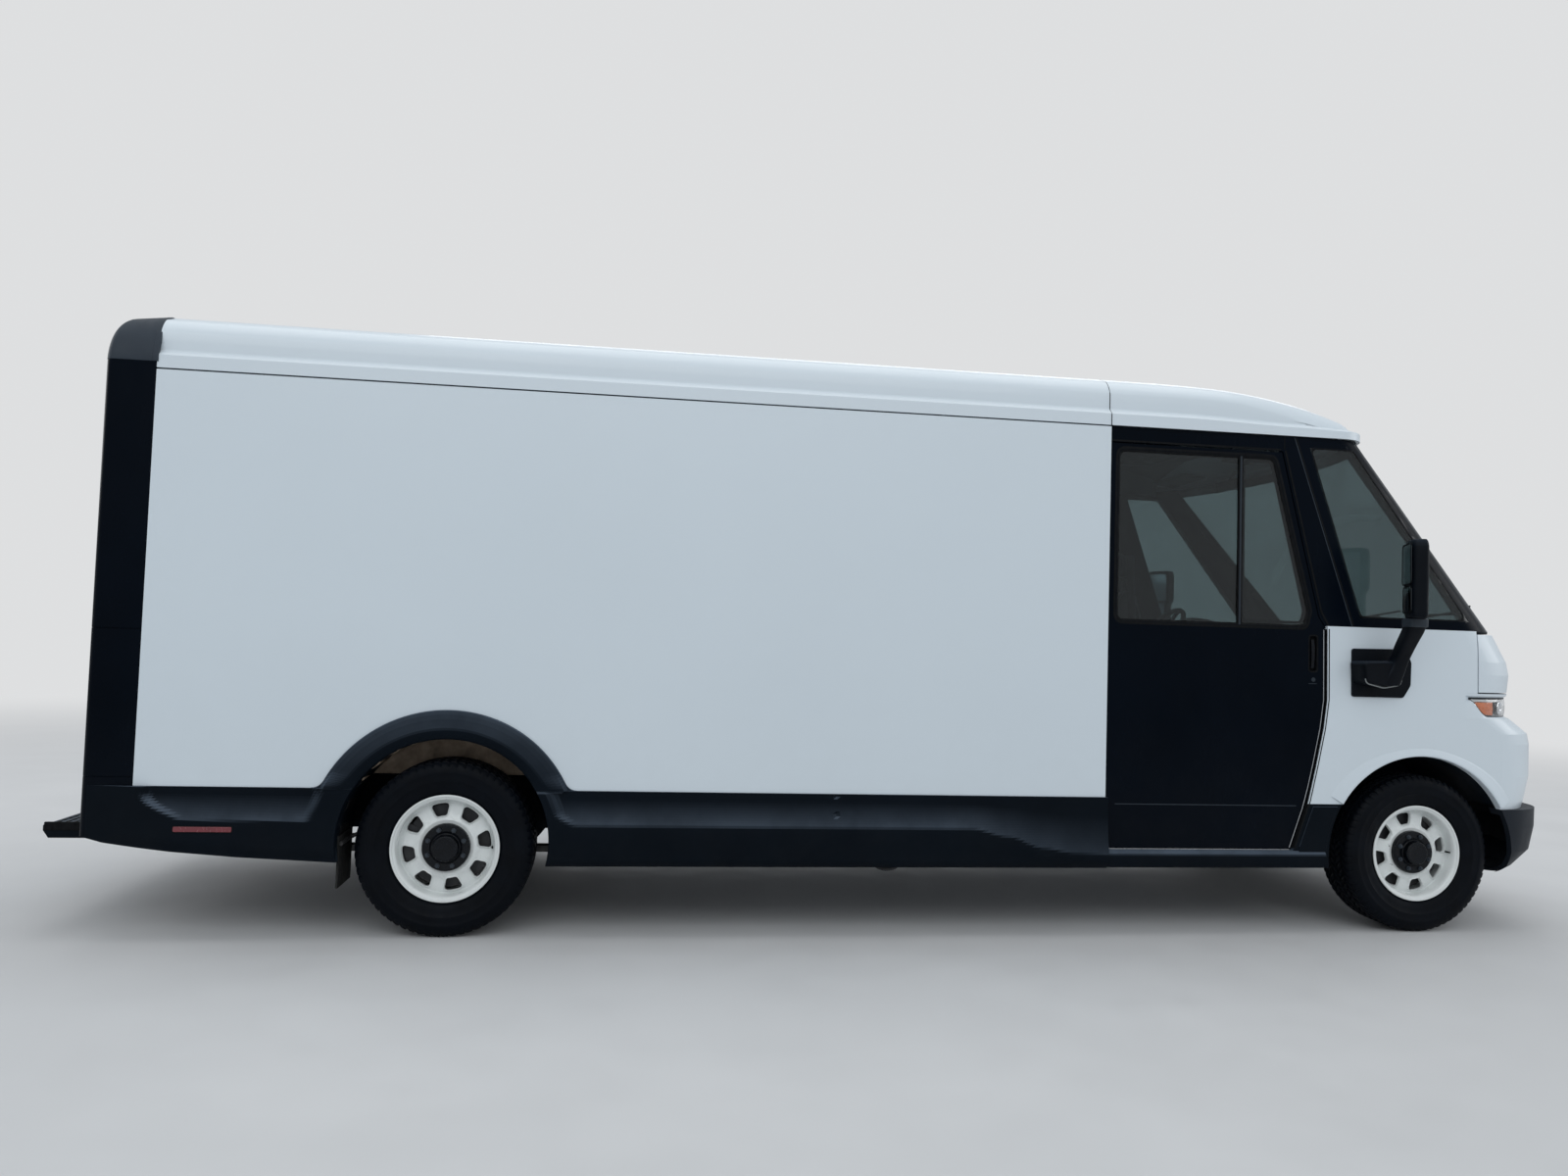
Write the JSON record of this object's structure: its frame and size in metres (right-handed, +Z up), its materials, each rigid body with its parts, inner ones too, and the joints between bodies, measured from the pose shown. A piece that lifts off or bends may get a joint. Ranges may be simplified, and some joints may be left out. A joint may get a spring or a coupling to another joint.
{
  "type": "electric delivery van",
  "caption": "White electric walk-in delivery van with a long load box, black cladding, sliding cab doors, steered front wheels and a hinged nose lid.",
  "frame": {"origin": "middle of the overall length and width, on the road under the tyres", "axes": "+X forward along the van, +Y to its left, +Z up"},
  "size_m": [7.2098, 2.7676, 2.7057],
  "materials": {
    "white_paint": "gloss paint",
    "black_paint": "gloss paint",
    "black_plastic": "moulded, slightly grained",
    "bumper_plastic": "moulded, satin",
    "rubber": "matt",
    "red_lens": "clear moulded lens",
    "clear_lens": "clear moulded lens",
    "tinted_glass": "polished, green tint",
    "frame_steel": "satin black paint",
    "battery_case": "cast and machined",
    "floor_aluminium": "ribbed sheet",
    "inner_panel": "moulded sheet",
    "dash_plastic": "grained",
    "seat_fabric": "woven",
    "wheel_paint": "gloss paint",
    "tyre": "matt"
  },
  "bodies": {
    "body": {"frame_rails": "frame_steel", "frame_crossmembers": "frame_steel", "battery_pack": "battery_case", "floor": "floor_aluminium", "cargo_side_right": "white_paint", "cargo_side_left": "white_paint", "cargo_roof": "white_paint", "wheelhouses": "black_plastic", "bulkhead": "inner_panel", "rear_frame": "black_paint", "rear_door": "white_paint", "rear_step": "black_plastic", "rear_cladding": "black_plastic", "sill_cladding": "black_plastic", "mud_flaps": "rubber", "rear_lamps": "red_lens", "cab_roof": "white_paint", "windshield": "tinted_glass", "cab_side_frames": "black_paint", "quarter_glass": "tinted_glass", "fenders": "white_paint", "cowl": "black_plastic", "fascia": "white_paint", "front_bumper": "bumper_plastic", "headlamps": "clear_lens", "mirrors": "black_plastic", "rear_axle": "frame_steel", "front_suspension": "frame_steel", "dashboard": "dash_plastic", "seats": "seat_fabric"},
    "cab_door_right": {"cab_door_right": "black_paint", "door_glass_right": "tinted_glass"},
    "cab_door_left": {"cab_door_left": "black_paint", "door_glass_left": "tinted_glass"},
    "bulkhead_door": {"bulkhead_door": "inner_panel"},
    "hood": {"hood": "white_paint"},
    "charge_flap": {"charge_flap": "white_paint"},
    "knuckle_right": {"knuckle_right": "frame_steel"},
    "knuckle_left": {"knuckle_left": "frame_steel"},
    "steering_wheel": {"steering_wheel": "dash_plastic"},
    "wheel_front_right": {"rim_front_right": "wheel_paint", "tyre_front_right": "tyre"},
    "wheel_front_left": {"rim_front_left": "wheel_paint", "tyre_front_left": "tyre"},
    "wheel_rear_right": {"rim_rear_right": "wheel_paint", "tyre_rear_right": "tyre"},
    "wheel_rear_left": {"rim_rear_left": "wheel_paint", "tyre_rear_left": "tyre"}
  },
  "joints": [
    {"name": "steer_left", "type": "hinge", "parent": "body", "child": "knuckle_left", "pos_m": [2.725, 0.806, 0.382], "axis": [0, 0, 1], "range_deg": [-35, 35]},
    {"name": "steer_right", "type": "hinge", "parent": "body", "child": "knuckle_right", "pos_m": [2.725, -0.806, 0.382], "axis": [0, 0, 1], "range_deg": [-35, 35]},
    {"name": "spin_front_left", "type": "hinge", "parent": "knuckle_left", "child": "wheel_front_left", "pos_m": [2.725, 0.906, 0.382], "axis": [0, 1, 0], "continuous": true},
    {"name": "spin_front_right", "type": "hinge", "parent": "knuckle_right", "child": "wheel_front_right", "pos_m": [2.725, -0.906, 0.382], "axis": [0, 1, 0], "continuous": true},
    {"name": "spin_rear_left", "type": "hinge", "parent": "body", "child": "wheel_rear_left", "pos_m": [-1.915, 0.906, 0.382], "axis": [0, 1, 0], "continuous": true},
    {"name": "spin_rear_right", "type": "hinge", "parent": "body", "child": "wheel_rear_right", "pos_m": [-1.915, -0.906, 0.382], "axis": [0, 1, 0], "continuous": true},
    {"name": "door_right_slide", "type": "slide", "parent": "body", "child": "cab_door_right", "axis": [-1, 0, 0], "range_m": [0, 0.88]},
    {"name": "door_left_slide", "type": "slide", "parent": "body", "child": "cab_door_left", "axis": [-1, 0, 0], "range_m": [0, 0.88]},
    {"name": "bulkhead_door_slide", "type": "slide", "parent": "body", "child": "bulkhead_door", "axis": [0, 1, 0], "range_m": [0, 0.56]},
    {"name": "hood_hinge", "type": "hinge", "parent": "body", "child": "hood", "pos_m": [3.024, 0, 1.468], "axis": [0, -1, 0], "range_deg": [0, 50]},
    {"name": "charge_flap_hinge", "type": "hinge", "parent": "body", "child": "charge_flap", "pos_m": [2.545, 1.045, 1.03], "axis": [0, 0, -1], "range_deg": [0, 100]},
    {"name": "steering_wheel_turn", "type": "hinge", "parent": "body", "child": "steering_wheel", "pos_m": [2.085, 0.44, 1.44], "axis": [-0.788, 0, 0.6157], "range_deg": [-425, 425]}
  ],
  "couplings": [
    {"joint": "steer_right", "follows": "steer_left", "ratio": 1},
    {"joint": "steering_wheel_turn", "follows": "steer_left", "ratio": 12}
  ]
}
